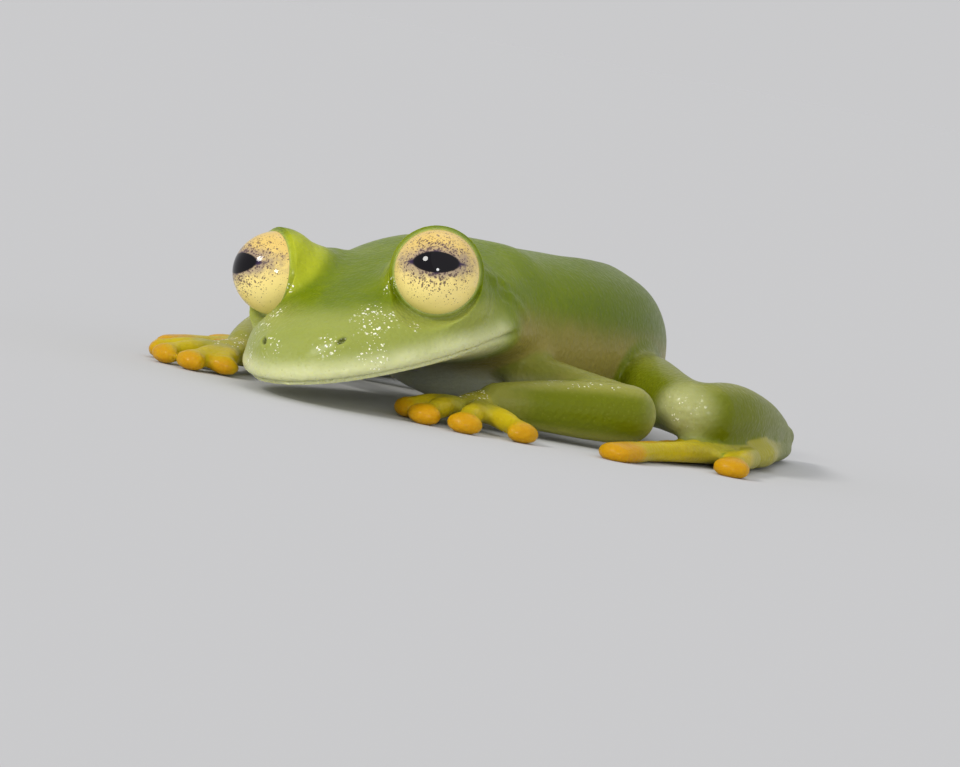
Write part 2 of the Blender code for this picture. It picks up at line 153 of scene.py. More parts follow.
def turned(down, lean, left):
    """Turn matrices from degrees: the yaw of a nose turned left, times the pitch of a nose turned
    down, times the roll of a left side turned up."""
    down, lean, left = (np.radians(np.asarray(angle, float)) for angle in (down, lean, left))
    one, none = np.ones_like(down), np.zeros_like(down)

    def matrix(*rows):
        """Matrices from their rows of numbers, for each of the angles."""
        return np.stack([np.stack(row, axis=-1) for row in rows], axis=-2)

    sine, cosine = np.sin((down, lean, left)), np.cos((down, lean, left))
    pitch = matrix((one, none, none), (none, cosine[0], -sine[0]), (none, sine[0], cosine[0]))
    roll = matrix((cosine[1], none, -sine[1]), (none, one, none), (sine[1], none, cosine[1]))
    yaw = matrix((cosine[2], -sine[2], none), (sine[2], cosine[2], none), (none, none, one))
    return yaw @ pitch @ roll


HEAD_MATRIX = turned(**HEAD_TURN)
TORSO_MATRIX = turned(**TORSO_TURN)


def posed(points):
    """Points of the straight body, turned about the neck by angles eased from head to torso."""
    points = np.asarray(points, float)
    share = eased(points[..., 1], *NECK_BEND)
    angles = [HEAD_TURN[way] * (1 - share) + TORSO_TURN[way] * share for way in HEAD_TURN]
    from_neck = points - (0, NECK, 0)
    moved = np.einsum("...ij,...j->...i", turned(*angles), from_neck)
    return moved + (0, NECK, NECK_HEIGHT)


def unposed(points, matrix):
    """Where points stood before the head's or the torso's matrix turned them about the neck."""
    return (points - (0, NECK, NECK_HEIGHT)) @ matrix + (0, NECK, 0)


def lofted(rings, first, last):
    """A closed surface through rings of points, from one pole to the other, as its points, quads
    and triangles: each ring is joined to the next, and the end ones to the poles."""
    count, sides = rings.shape[:2]
    points = np.concatenate([rings.reshape(-1, 3), [first, last]])
    row, place = np.meshgrid(np.arange(count - 1), np.arange(sides), indexing="ij")
    here, beside = row * sides + place, row * sides + (place + 1) % sides
    quads = np.stack([here, beside, beside + sides, here + sides], axis=-1).reshape(-1, 4)
    place = np.arange(sides)
    after = (place + 1) % sides
    base = (count - 1) * sides
    front = np.stack([after, place, np.full(sides, count * sides)], 1)
    back = np.stack([base + place, base + after, np.full(sides, count * sides + 1)], 1)
    return points, quads, np.concatenate([front, back])


behind = SNOUT_VENT * (1 - np.cos(np.linspace(0, math.pi, BODY_RINGS + 2))) / 2
turn = 2 * math.pi * np.arange(BODY_SIDES) / BODY_SIDES
body_rings = posed(body_points(behind[1:-1, None], turn))
body = lofted(body_rings, posed((0, 0, 0)), posed((0, SNOUT_VENT, 0)))


# The eyes' mounds: skin raised over each eyeball as its lids, on a broad brow, and a low swelling
# behind it that runs into the neck. Each is a ball, mostly sunk in the head. A place on the head
# is given out from the midline, behind the snout's tip and above the mouth's plane.

EYE_RADIUS = 1.55
EYE_PLACE = (3.35, 5.1, 2.9)
# Degrees that the eyes look out from straight ahead, and up
EYE_OUT = 33
EYE_UP = 17
LID_RADIUS = 1.7
BROW_RADIUS = 2.1
BROW_PLACE = (2.7, 5.7, 1.75)
NAPE_RADIUS = 2
NAPE_PLACE = (2.5, 7, 1.4)


def on_side(place, side):
    """A posed place of the head, on the left for a side of 1 and on the right for -1."""
    return posed((side * place[0], *place[1:]))


def way_of(azimuth, elevation):
    """The direction, for degrees a from straight ahead to the left and e up: (sin a cos e,
    -cos a cos e, sin e)."""
    a, e = math.radians(azimuth), math.radians(elevation)
    return np.array((math.sin(a) * math.cos(e), -math.cos(a) * math.cos(e), math.sin(e)))


def eye_place(side):
    """Where an eye's middle is, and the way it looks, turned with the head by its matrix."""
    return on_side(EYE_PLACE, side), HEAD_MATRIX @ way_of(side * EYE_OUT, EYE_UP)


def ball(middle, radius, steps=40, sides=60):
    """A ball: its middle plus radius times (sin p cos t, sin p sin t, cos p), for a polar angle p
    and a turn t about the upright."""
    polar = np.linspace(math.pi, 0, steps + 2)[1:-1, None]
    turn = 2 * math.pi * np.arange(sides) / sides
    ways = (np.sin(polar) * np.cos(turn), np.sin(polar) * np.sin(turn), np.cos(polar))
    shape = np.stack(np.broadcast_arrays(*ways), -1)
    return lofted(middle + radius * shape, middle - (0, 0, radius), middle + (0, 0, radius))


mounds = []
for side in (1, -1):
    mounds.append(ball(eye_place(side)[0], LID_RADIUS))
    mounds.append(ball(on_side(BROW_PLACE, side), BROW_RADIUS))
    mounds.append(ball(on_side(NAPE_PLACE, side), NAPE_RADIUS))


# The arms and legs: slim and folded, each shaped as tubes along its bones, with flat palms and
# soles, round-tipped fingers and toes that lie on the floor, and thin webs between them. Places
# are left of the midline, behind the snout's tip and above the floor.

ARM = {
    "left": {
        "shoulder": (3, 10.9, 2.1),
        "elbow": (8.4, 12.9, 1.45),
        "wrist": (3.8, 8.2, 1.05),
        "fingers": ((2.6, 4.7), (4.3, 3.6), (6, 3.9), (7.6, 5.9)),
    },
    "right": {
        "shoulder": (-3, 10.9, 1.9),
        "elbow": (-7.9, 12.3, 1.35),
        "wrist": (-5.5, 6.6, 0.95),
        "fingers": ((-4.4, 3.5), (-5.4, 2.5), (-6.9, 2.8), (-8.4, 4.4)),
    },
}
LEG = {
    "left": {
        "hip": (1.9, 21.3, 2),
        "knee": (9.4, 14.2, 1.85),
        "heel": (6.8, 25.8, 1.05),
        "instep": (10, 18.8, 0.62),
        "toes": ((8.2, 15.4), (8.7, 13.1), (9.3, 10.5), (9.9, 7.6), (12.2, 12.4)),
    },
    "right": {
        "hip": (-1.9, 21.3, 1.9),
        "knee": (-9.3, 13.9, 1.7),
        "heel": (-6.8, 25.6, 1),
        "instep": (-10.1, 18.8, 0.62),
        "toes": ((-8, 15.4), (-8.7, 13), (-9.5, 10.5), (-10.3, 7.9), (-11.7, 12.8)),
    },
}
# Each limb's bow at its middle, outward, behind and up, then its half widths and half heights
# after a share of its length
LIMB_FORMS = {
    "upper_arm": ((0, -0.3, 0.1), ((0, 0.9, 0.9), (0.5, 0.8, 0.8), (1, 0.85, 0.85))),
    "forearm": (
        (0, -0.35, 0.05),
        ((0, 1.05, 1.08), (0.3, 1.02, 1.1), (0.65, 0.86, 0.92), (1, 0.64, 0.62)),
    ),
    "thigh": (
        (0, -0.4, 0.1),
        ((0, 1.15, 1.15), (0.35, 1.42, 1.32), (0.75, 1.12, 1.12), (1, 0.98, 1.02)),
    ),
    "shank": (
        (0.35, 0, 0.3),
        ((0, 1.02, 1.1), (0.25, 1.26, 1.22), (0.5, 1.05, 1), (0.78, 0.66, 0.66),
         (0.92, 0.52, 0.52), (1, 0.56, 0.54)),
    ),
    "tarsus": (
        (0, 0, 0), ((0, 0.46, 0.4), (0.2, 0.54, 0.44), (0.55, 0.5, 0.46), (1, 0.66, 0.48))
    ),
}
PALM_SIZES = ((0, 0.6, 0.55), (0.5, 0.72, 0.5), (1, 0.78, 0.42))
# The shank ends a little under the heel's place, and the tarsus starts below and inside its skin
HEEL_DROP = 0.22
TARSUS_OFFSET = (0.15, -0.3, -0.56)
# How far a limb runs on into the next one, and how far it sinks there at the wrist and instep
JOINT_OVERLAP = 0.45
WRIST_SINKS = 0.1
INSTEP_SINKS = 0.05
# Palms and soles: length, height over the floor, half a digit's width, and how much of each two
# digits' length a web joins. The palm's tube lies this far under the wrist, and runs on past the
# roots of the digits by a share of its length
HAND = {"length": 1.3, "height": 0.72, "half_width": 0.42, "webbed": (0.25, 0.4, 0.6)}
FOOT = {"length": 1.6, "height": 0.5, "half_width": 0.36, "webbed": (0.6, 0.6, 0.6, 0.7)}
PALM_DROP = 0.15
PALM_RUNS_ON = 0.2
ROOT_SPREAD = 0.48
# Digits: half the width of the round disc at the tip, half the height of both, how high a disc's
# middle lies, how far the shaft arches, and shares of the half widths and heights along both
DISC_HALF_WIDTH = 0.66
DIGIT_HALF_HEIGHT = 0.38
DISC_HEIGHT = 0.25
DIGIT_ARCH = 0.1
SHAFT_SHAPE = ((0, 1.15, 1.1), (0.3, 0.95, 1), (0.5, 1.02, 1), (0.7, 0.86, 0.92))
DISC_SHAPE = ((0.84, 0.98, 1), (1, 1, 0.95))
# How far a web's edge dips between two digits, and how thick it is
WEB_DIP = 0.42
WEB_THICKNESS = 0.26


def along_path(path):
    """How far along a path of straight runs each of its points lies."""
    return np.concatenate([[0], np.cumsum(np.linalg.norm(np.diff(path, axis=0), axis=1))])


def limb_path(path, sizes, steps):
    """Centres, half widths, half heights and shares of the length at steps along a limb.

    The shares are (1 - cos(a)) / 2 for even angles a. Centres and sizes lie on smooth lines
    through the path and the table of sizes, and both ends are rounded by their own thickness.
    """
    path = np.array(path, float)
    reached = along_path(path)
    shares = (1 - np.cos(np.linspace(0, math.pi, steps))) / 2
    along = shares * reached[-1]
    centres = np.stack([through(np.stack([reached, path[:, k]], 1), along) for k in range(3)], 1)
    table = np.array(sizes, float)
    wide, tall = through(table[:, [0, 1]], shares), through(table[:, [0, 2]], shares)
    thickness = (wide + tall) / 2
    ends = rounded_end(along, thickness[0]) * rounded_end(reached[-1] - along, thickness[-1])
    return centres, wide * ends, tall * ends, shares


def tube(path, sizes, steps=90, sides=48):
    """A closed tube along a path: centre plus side times cos(turn) plus rise times sin(turn)."""
    centres, wide, tall, _ = limb_path(path, sizes, steps)
    forward = np.gradient(centres, axis=0)
    side = np.cross(forward, (0, 0, 1))
    side /= np.linalg.norm(side, axis=1)[:, None]
    rise = np.cross(side, forward)
    rise /= np.linalg.norm(rise, axis=1)[:, None]
    turn = 2 * math.pi * np.arange(sides) / sides
    across = side[:, None] * (wide[:, None] * np.cos(turn))[..., None]
    upward = rise[:, None] * (tall[:, None] * np.sin(turn))[..., None]
    rings = centres[:, None] + across + upward
    return lofted(rings[1:-1], centres[0], centres[-1])


def bowed(start, end, by):
    """A path bowed at its middle by an offset: start + (end - start) t + by times 4 t (1 - t)."""
    start, end, by = (np.array(p, float) for p in (start, end, by))
    t = np.linspace(0, 1, 5)[:, None]
    return start + (end - start) * t + by * 4 * t * (1 - t)


def digit(root, tip, half_width):
    """The path and sizes of a finger or toe: from its root over a low arch, halfway, to a broad
    disc flat on the floor."""
    root, tip = np.array(root, float), np.array((*tip, DISC_HEIGHT))
    shaft = [(at, half_width * w, DIGIT_HALF_HEIGHT * h) for at, w, h in SHAFT_SHAPE]
    disc = [(at, DISC_HALF_WIDTH * w, DIGIT_HALF_HEIGHT * h) for at, w, h in DISC_SHAPE]
    return [root, (root + tip) / 2 + (0, 0, DIGIT_ARCH), tip], shaft + disc


def towards(start, tips):
    """The level direction from a wrist or instep to halfway between the tips of two digits: the
    second and third last, in the hand's or the foot's middle."""
    ahead = np.array(tips)[-3:-1].mean(0) - start[:2]
    return ahead / np.linalg.norm(ahead)


def web(first, second, share, steps=24):
    """A web between two digits' paths, as two sheets WEB_THICKNESS apart.

    Its points run from one path to the other by v, up to a share of their length that dips
    between them by WEB_DIP times 4 v (1 - v).
    """
    u, v = np.meshgrid(np.linspace(0, 1, steps), np.linspace(0, 1, steps))
    reach = u * share * (1 - WEB_DIP * 4 * v * (1 - v))
    lines = []
    for path in (np.array(first), np.array(second)):
        reached = along_path(path)
        stations = [np.stack([reached / reached[-1], path[:, k]], 1) for k in range(3)]
        lines.append(np.stack([through(line, reach) for line in stations], -1))
    sheet = lines[0] * (1 - v[..., None]) + lines[1] * v[..., None]
    half = (0, 0, WEB_THICKNESS / 2)
    rings = np.concatenate([sheet + half, (sheet - half)[:, ::-1]], axis=1)
    return lofted(rings, rings[0].mean(0), rings[-1].mean(0))


def hand_forms(before, start, tips, length, height, half_width, webbed):
    """A hand or foot: its flat palm, its digits, and the paths and shares of its webs.

    The palm runs from just up the limb before it to its own length ahead. Each digit's root lies
    across the palm's end by ROOT_SPREAD times how far aside its tip is, up to 1 mm.
    """
    start, tips = np.array(start, float), np.array(tips)
    ahead = towards(start, tips)
    palm = np.array((*(start[:2] + ahead * length), height))
    across = np.array((-ahead[1], ahead[0]))
    aside = np.clip((tips - palm[:2]) @ across, -1, 1) * ROOT_SPREAD
    roots = [palm + (*(across * a), 0) for a in aside]
    digits = [digit(root, tip, half_width) for root, tip in zip(roots, tips)]
    webs = [(digits[k][0], digits[k + 1][0], share) for k, share in enumerate(webbed)]
    back = np.array(before) - start
    start += back / np.linalg.norm(back) * JOINT_OVERLAP
    path = [start, (start + palm) / 2, palm + (palm - start) * PALM_RUNS_ON]
    return (path, PALM_SIZES), digits, webs


limbs, webs = {}, []
for side, out in (("left", 1), ("right", -1)):
    arm, leg = ARM[side], LEG[side]
    wrist, heel, instep = (np.array(p) for p in (arm["wrist"], leg["heel"], leg["instep"]))
    past_wrist = wrist + (*(towards(wrist, arm["fingers"]) * JOINT_OVERLAP), -WRIST_SINKS)
    past_instep = instep + (*(towards(instep, leg["toes"]) * JOINT_OVERLAP), -INSTEP_SINKS)
    bones = {
        "upper_arm": (arm["shoulder"], arm["elbow"]),
        "forearm": (arm["elbow"], past_wrist),
        "thigh": (leg["hip"], leg["knee"]),
        "shank": (leg["knee"], heel - (0, 0, HEEL_DROP)),
        "tarsus": (heel + (TARSUS_OFFSET[0] * out, *TARSUS_OFFSET[1:]), past_instep),
    }
    for kind, (start, end) in bones.items():
        (aside, *bow), sizes = LIMB_FORMS[kind]
        limbs[kind, side] = (bowed(start, end, (aside * out, *bow)), sizes)
    under_wrist = wrist - (0, 0, PALM_DROP)
    limbs["palm", side], fingers, gaps = hand_forms(arm["elbow"], under_wrist, arm["fingers"], **HAND)
    webs += gaps
    limbs["sole", side], toes, gaps = hand_forms(heel, instep, leg["toes"], **FOOT)
    webs += gaps
    for kind, digits in (("finger", fingers), ("toe", toes)):
        for number, shape in enumerate(digits):
            limbs[f"{kind}{number}", side] = shape
tubes = [tube(path, sizes) for path, sizes in limbs.values()]


# The skin: one thin, moist hide over the whole frog, cast in one with the flesh under it. Body,
# mounds, limbs and webs are run together into one closed surface. Its creases are filled, and
# it is smoothed and then split finer round the eyes, mouth and nostrils.

VOXEL = 0.14
FILL_ROUNDS = 16
SMOOTH_ROUNDS = 4
SMOOTH_PULL = 0.5
SMOOTH_PUSH = 0.52
# A nostril's distance behind the snout's tip, and its degrees up from the mouth's line
NOSTRIL = (0.95, 50)
# The bands that are split finer: half the mouth's, its ends and how far past the head's sides it
# goes, the ring aside from an eye's look and its ends along it, and radii round a nostril
MOUTH_BAND = 0.4
MOUTH_BAND_ENDS = (-0.5, 8.6)
MOUTH_BAND_PAST = 0.4
LID_BAND = (1.3, 2)
LID_BAND_LENGTH = (-0.5, 2)
NOSTRIL_SURROUND = 0.7
NOSTRIL_CLOSE = 0.5


def joined(shapes):
    """Several closed surfaces as one list of points and one of faces, numbered on from each other."""
    starts = np.cumsum([0] + [len(points) for points, _, _ in shapes[:-1]])
    faces = []
    for start, (_, quads, triangles) in zip(starts, shapes):
        faces += (quads + start).tolist() + (triangles + start).tolist()
    return np.concatenate([points for points, _, _ in shapes]), faces


def rows_of(items, field):
    """A field of three numbers of a mesh's points or faces, as rows of an array."""
    values = np.empty(len(items) * 3)
    items.foreach_get(field, values)
    return values.reshape(-1, 3)


def placed(name, data):
    """A new object of the scene, for a mesh, lamp or camera."""
    made = bpy.data.objects.new(name, data)
    bpy.context.scene.collection.objects.link(made)
    return made


def run_together(points, faces):
    """One closed surface round overlapping ones, found on a grid of VOXEL cubes: points, quads."""
    mesh = bpy.data.meshes.new("rough_skin")
    mesh.from_pydata(points.tolist(), [], faces)
    rough = placed("rough_skin", mesh)
    step = rough.modifiers.new("Run together", "REMESH")
    step.mode = "VOXEL"
    step.voxel_size = VOXEL
    graph = bpy.context.evaluated_depsgraph_get()
    whole = bpy.data.meshes.new_from_object(rough.evaluated_get(graph))
    bpy.data.objects.remove(rough)
    found = rows_of(whole.vertices, "co")
    corners = np.empty(len(whole.loops), int)
    whole.loops.foreach_get("vertex_index", corners)
    bpy.data.meshes.remove(whole)
    return found, corners.reshape(-1, 4)


def summed(values, where, count):
    """Sums of rows of three numbers over the places that they belong to."""
    return np.stack([np.bincount(where, values[:, k], count) for k in range(3)], 1)


def quad_normals(points, quads):
    """The way out at each point: the mean over its faces of the cross of their diagonals."""
    corners = points[quads]
    face = np.cross(corners[:, 2] - corners[:, 0], corners[:, 3] - corners[:, 1])
    total = summed(np.repeat(face, 4, axis=0), quads.ravel(), len(points))
    return total / np.maximum(np.linalg.norm(total, axis=1), 1e-12)[:, None]


def around(points, edges):
    """The mean place of the points that share an edge with each point."""
    start, end = np.concatenate([edges, edges[:, ::-1]]).T
    many = np.bincount(start, minlength=len(points))
    return summed(points[end], start, len(points)) / many[:, None]


def filled_and_smoothed(points, quads):
    """A surface with its creases filled and its ripples gone.

    Each round of filling moves a point along its normal by how far its neighbours' mean lies out
    that way, never inward. Each round of smoothing pulls it to that mean and pushes it back.
    """
    edges = np.stack([quads.ravel(), np.roll(quads, -1, axis=1).ravel()], 1)
    for _ in range(FILL_ROUNDS):
        pull = around(points, edges) - points
        outward = quad_normals(points, quads)
        rise = np.maximum((pull * outward).sum(1), 0)
        points = points + outward * rise[:, None]
    for _ in range(SMOOTH_ROUNDS):
        points = points + SMOOTH_PULL * (around(points, edges) - points)
        points = points - SMOOTH_PUSH * (around(points, edges) - points)
    return points


def refined(points, quads, rounds):
    """The surface as a mesh, its faces split in four where each round's rule finds their middles."""
    mesh = bpy.data.meshes.new("skin")
    mesh.from_pydata(points.tolist(), [], quads.tolist())
    for rule in rounds:
        chosen = np.flatnonzero(rule(rows_of(mesh.polygons, "center")))
        whole = bmesh.new()
        whole.from_mesh(mesh)
        whole.faces.ensure_lookup_table()
        edges = {edge for k in chosen for edge in whole.faces[k].edges}
        bmesh.ops.subdivide_edges(whole, edges=list(edges), cuts=1, smooth=0.6, use_grid_fill=True)
        whole.to_mesh(mesh)
        whole.free()
    return mesh


def on_head(behind, turn, side):
    """A point on the posed head's surface, for a turn in degrees up from the side's mouth line."""
    turn = math.radians(turn if side > 0 else 180 - turn)
    return posed(body_points(np.float64(behind), np.float64(turn)))


def distance(points, place):
    """How far points are from a place."""
    return np.linalg.norm(points - place, axis=1)


def eye_reach(points, side):
    """How far points lie ahead of an eye's middle, along its look, and aside from that line."""
    middle, look = eye_place(side)
    away = points - middle
    ahead = away @ look
    return ahead, np.linalg.norm(away - ahead[:, None] * look, axis=1)


def beside_head(head):
    """How far points of the straight head lie out past its sides at their own distance behind."""
    return np.abs(head[:, 0]) - head_half_width(head[:, 1])


def between(values, limits):
    """Whether values lie between two limits."""
    return (values > limits[0]) & (values < limits[1])


def near_nostrils(points, radius=NOSTRIL_CLOSE):
    """Whether points lie within a radius of a nostril, which is the smallest form of all."""
    return np.min([distance(points, on_head(*NOSTRIL, side)) for side in (1, -1)], axis=0) < radius


def near_features(points):
    """Whether points lie round an eye's lids, along the mouth or near a nostril."""
    head = unposed(points, HEAD_MATRIX)
    found = (np.abs(head[:, 2]) < MOUTH_BAND) & between(head[:, 1], MOUTH_BAND_ENDS)
    found &= beside_head(head) < MOUTH_BAND_PAST
    for side in (1, -1):
        ahead, aside = eye_reach(points, side)
        found |= between(aside, LID_BAND) & between(ahead, LID_BAND_LENGTH)
    return found | near_nostrils(points, NOSTRIL_SURROUND)


forms = [body] + tubes + [web(*lines) for lines in webs] + mounds
rough_points, quads = run_together(*joined(forms))
smooth_points = filled_and_smoothed(rough_points, quads)
mesh = refined(smooth_points, quads, (near_features, near_nostrils))
points = rows_of(mesh.vertices, "co")
normals = rows_of(mesh.vertex_normals, "vector")


# The skin's small forms, pressed in and out along its normals: bones that show through the
# back, the vent, the mouth, lids that open round the eyes, slit nostrils, faint ear drums, and
# a fold of loose skin from behind each eye down to the shoulder.

# A ridge, or a furrow where it is less than 0: its height, where it lies from the midline, 0, to
# the line of the hip bones, 1, half its width, and where along the back it starts and ends
BACK_FORMS = {
    "hip bones": (0.12, 1, 0.6, (14, 16.5), (22.5, 24.5)),
    "tail bone": (0.05, 0, 0.35, (16.5, 18.5), (22, 24)),
    "hollows beside the tail bone": (-0.05, 0.5, 0.5, (15, 17.5), (21, 23.5)),
    "furrow of the spine": (-0.08, 0, 0.4, (9.5, 11), (14.5, 16.5)),
}
# How far out the hip bones' line lies, before it closes in along the back and after
HIPS_OUT = (2.4, 0.7)
HIPS_CLOSE_IN = (14.5, 23.5)
# A shoulder blade's height, place and radius, and the share that its length is of its width
BLADE_HEIGHT = 0.18
BLADE_PLACE = (2.6, 11)
BLADE_RADIUS = 1
BLADE_LENGTH = 0.8
# How high and how far behind the snout's tip the back's forms start
BACK_RISES = (1, 2.6)
BACK_FORMS_START = (8.5, 10.5)
# The vent: its place, and the height, radius and width of the ring and of the pit in it
VENT_PLACE = (0, 24.9, 0.55)
VENT_RING = (0.1, 0.45, 0.25)
VENT_PIT = (0.3, 0, 0.22)
# The mouth's groove: depth, half height, and where it fades: at its corner, where the skin turns
# level under the chin, and past the head's sides. The upper lip: rise, place, half height
MOUTH_DEPTH = 0.22
MOUTH_HEIGHT = 0.1
MOUTH_END = (7.2, 8.4)
MOUTH_LEVEL = (0.75, 0.95)
MOUTH_PAST = (0.2, 0.4)
LIP = (0.08, 0.36, 0.24)
# The lids' level ahead of the eye's middle, which rises over a distance aside from its look. Past
# their edge they round off, and further out the skin lies behind a cone, clear of the eye's view
LID_LEVEL = (-0.15, 0.29)
LID_EDGE = (1.4, 1.51)
LID_ROUNDING = (1.55, 1.7)
LID_ROUNDING_DEPTH = 0.2
LID_CONE_STARTS = 1.68
LID_CONE_SLOPE = 0.585
LID_REACH = 4.5
LID_BEHIND = -0.3
# A nostril's slit: half its width, how many times as long it is, its depth, and its swelling
NOSTRIL_RADIUS = 0.085
NOSTRIL_LENGTH = 1.9
NOSTRIL_DEPTH = 0.2
NOSTRIL_SWELLING = (0.09, 0.4)
# An ear drum: its place as a nostril's, radii of its dip and rim, half the rim's width, height
EAR = (8, 27)
EAR_DIP = 0.3
EAR_RADIUS = 0.6
EAR_RIM = 0.14
EAR_HEIGHT = 0.035
# The fold behind the eye: its path on the straight head, its ridge's height and half width,
# and the depth, distance and half width of the furrow beside it
FOLD_PATH = ((3.9, 6.6, 2.6), (4.3, 7.6, 2.1), (4.6, 8.6, 1.2), (4.5, 9.4, 0.2))
FOLD_RIDGE = (0.07, 0.22)
FOLD_FURROW = (0.04, 0.4, 0.2)
LINE_STEPS = 40


def back_relief(torso):
    """How far the back stands out at points of the straight torso.

    Each form is its height times a bell curve of the distance from its line, eased in and out
    along the back. All of them fade down the flanks, and the vent is a pit in a low ring.
    """
    out, along = np.abs(torso[:, 0]), torso[:, 1]
    hips = HIPS_OUT[0] + (HIPS_OUT[1] - HIPS_OUT[0]) * eased(along, *HIPS_CLOSE_IN)
    blade = np.hypot(out - BLADE_PLACE[0], (along - BLADE_PLACE[1]) * BLADE_LENGTH)
    relief = BLADE_HEIGHT * hump(blade, 0, BLADE_RADIUS)
    for height, share, width, start, end in BACK_FORMS.values():
        lasts = eased(along, *start) * (1 - eased(along, *end))
        relief += height * hump(out, hips * share, width) * lasts
    relief *= eased(torso[:, 2], *BACK_RISES) * eased(along, *BACK_FORMS_START)
    vent = distance(torso, VENT_PLACE)
    relief += VENT_RING[0] * hump(vent, *VENT_RING[1:]) - VENT_PIT[0] * hump(vent, *VENT_PIT[1:])
    return relief


def mouth_relief(head, normals):
    """How far the lips stand out at points of the straight head: a bell curve of the height over
    the mouth's plane for the lip, less another for the groove."""
    level = np.abs(normals @ HEAD_MATRIX[:, 2])
    mouth = (1 - eased(head[:, 1], *MOUTH_END)) * (1 - eased(level, *MOUTH_LEVEL))
    mouth *= 1 - eased(beside_head(head), *MOUTH_PAST)
    groove = MOUTH_DEPTH * hump(head[:, 2], 0, MOUTH_HEIGHT)
    return (LIP[0] * hump(head[:, 2], *LIP[1:]) - groove) * mouth


def lid_opening(points, side):
    """How far points stand past an eye's lids, along its look, where they do."""
    ahead, aside = eye_reach(points, side)
    level = LID_LEVEL[0] + (LID_LEVEL[1] - LID_LEVEL[0]) * eased(aside, *LID_EDGE)
    level = level - LID_ROUNDING_DEPTH * eased(aside, *LID_ROUNDING)
    level = level + np.maximum(aside - LID_CONE_STARTS, 0) / LID_CONE_SLOPE
    near = (ahead > LID_BEHIND) & (distance(points, eye_place(side)[0]) < LID_REACH)
    return np.where(near, np.maximum(ahead - level, 0), 0)


def nostril_reach(points, side):
    """How far points are from a nostril's slit, which runs back along the snout, and from its
    middle: for the slit, what lies along it counts NOSTRIL_LENGTH times less."""
    behind, turn = NOSTRIL
    run = on_head(behind + 0.1, turn, side) - on_head(behind - 0.1, turn, side)
    run /= np.linalg.norm(run)
    offset = points - on_head(behind, turn, side)
    along = offset @ run
    aside = np.linalg.norm(offset - along[:, None] * run, axis=1)
    return np.hypot(along / NOSTRIL_LENGTH, aside), np.linalg.norm(offset, axis=1)


def side_relief(points, head, side):
    """How far the nostril, the ear drum and the fold behind the eye stand out on one side: each
    a bell curve, less another, of the distance from its middle or its line."""
    slit, middle = nostril_reach(points, side)
    nostril = NOSTRIL_SWELLING[0] * hump(middle, 0, NOSTRIL_SWELLING[1])
    nostril -= NOSTRIL_DEPTH * hump(slit, 0, NOSTRIL_RADIUS)
    ear = distance(points, on_head(*EAR, side))
    drum = EAR_HEIGHT * (hump(ear, EAR_RADIUS, EAR_RIM) - 1 + eased(ear, EAR_DIP, EAR_RADIUS))
    centres = limb_path(FOLD_PATH, ((0, 1, 1), (1, 1, 1)), LINE_STEPS)[0]
    line = np.min([distance(head * (side, 1, 1), centre) for centre in centres], axis=0)
    fold = FOLD_RIDGE[0] * hump(line, 0, FOLD_RIDGE[1]) - FOLD_FURROW[0] * hump(line, *FOLD_FURROW[1:])
    return nostril + drum + fold


points = points + normals * back_relief(unposed(points, TORSO_MATRIX))[:, None]
head = unposed(points, HEAD_MATRIX)
points = points + normals * mouth_relief(head, normals)[:, None]
for side in (1, -1):
    points = points - eye_place(side)[1] * lid_opening(points, side)[:, None]
    points = points + normals * side_relief(points, head, side)[:, None]
points[:, 2] = np.maximum(points[:, 2], 0)


# The skin's colours: green on the back, pale on the snout's sides, the lips and the belly, olive
# on the limbs, yellow and orange on the digits, with painted glints on wet points and painted shade
# in the nostrils. Each is painted where its share says, from 0 to 1 at every point, and the shares
# go into the mesh for the material to read.

# From the snout's tip on the midline to the middle of the frog's box, and a millimetre in metres
CENTRE = (0.2, 13.05, 0)
MM = 0.001
# The body's colours: where each fades, behind the snout's tip or above the mouth's plane. The
# pale sides reach less high the further back they are
BACK_DARKENS = (7, 19)
BACK_DARKNESS = 0.8
PALE_TOP = (1.9, 2.9)
PALE_TOP_FALLS = 0.12
PALE_END = (5.6, 9)
LIP_TOP = (0.15, 1.25)
LIP_DULLS = (4.5, 7)
LIP_DULLNESS = 0.35
LIP_END = (6.8, 8.4)
FLANK_TOP = (-0.4, 1.8)
FLANK_STARTS = (7.5, 9.5)
BELLY_TOP = (-2.1, -1)
# The limbs' colours: where each fades, in the limb's own thicknesses from it and along it
LIMB_FADES = (1.05, 1.45)
HAND_FADES = (1.8, 2.8)
DIGIT_FADES = (1.5, 2.2)
TARSUS_FADES = (1.1, 1.8)
FOOT_STARTS = (0.55, 1)
TARSUS_YELLOWS = (0.25, 1)
DIGIT_STARTS = (0.1, 0.6)
DISC_STARTS = (0.76, 0.92)
# A toe that lies against an elbow or a knee leaves no colour there
CLOSER_BY = (-0.15, 0.1)
# The paler edges of the limbs, by how level the skin is and how far along the forearm it lies
ARM_EDGE = (0.4, 0.95)
WRIST_STARTS = (0.6, 0.95)
LEG_EDGE = (0.5, 0.97)
LEG_PALENESS = 0.4
# A pale patch over the knees and the elbows: a place off the knee's middle, and radii round both
KNEE_FRONT = (-0.4, -1, 0.1)
KNEE_FADES = (0.4, 2.5)
KNEE_SKIN = (1.15, 1.5)
ELBOW_FADES = (0.4, 1.8)
ELBOW_PALENESS = 0.6
UPPER_ARM_COVER = 0.5
# The lids' pale rim: strength, distance aside from the eye's look, half width, where it starts
RIM = (0.8, 1.49, 0.09)
RIM_STARTS = (-0.1, 0.2)
# The mounds' yellow glow: distance from the eye's middle and half width, how far inward and how
# high it starts, and its strength on the left and on the right
GLOW = (1.75, 0.36)
GLOW_INWARD = (0, 0.7)
GLOW_HEIGHT = (1.7, 2.8)
GLOW_STRENGTH = {1: 0.3, -1: 0.8}
# The nostrils' painted shade: half the width of the dark bell curve round each slit
NOSTRIL_SHADE = 0.1
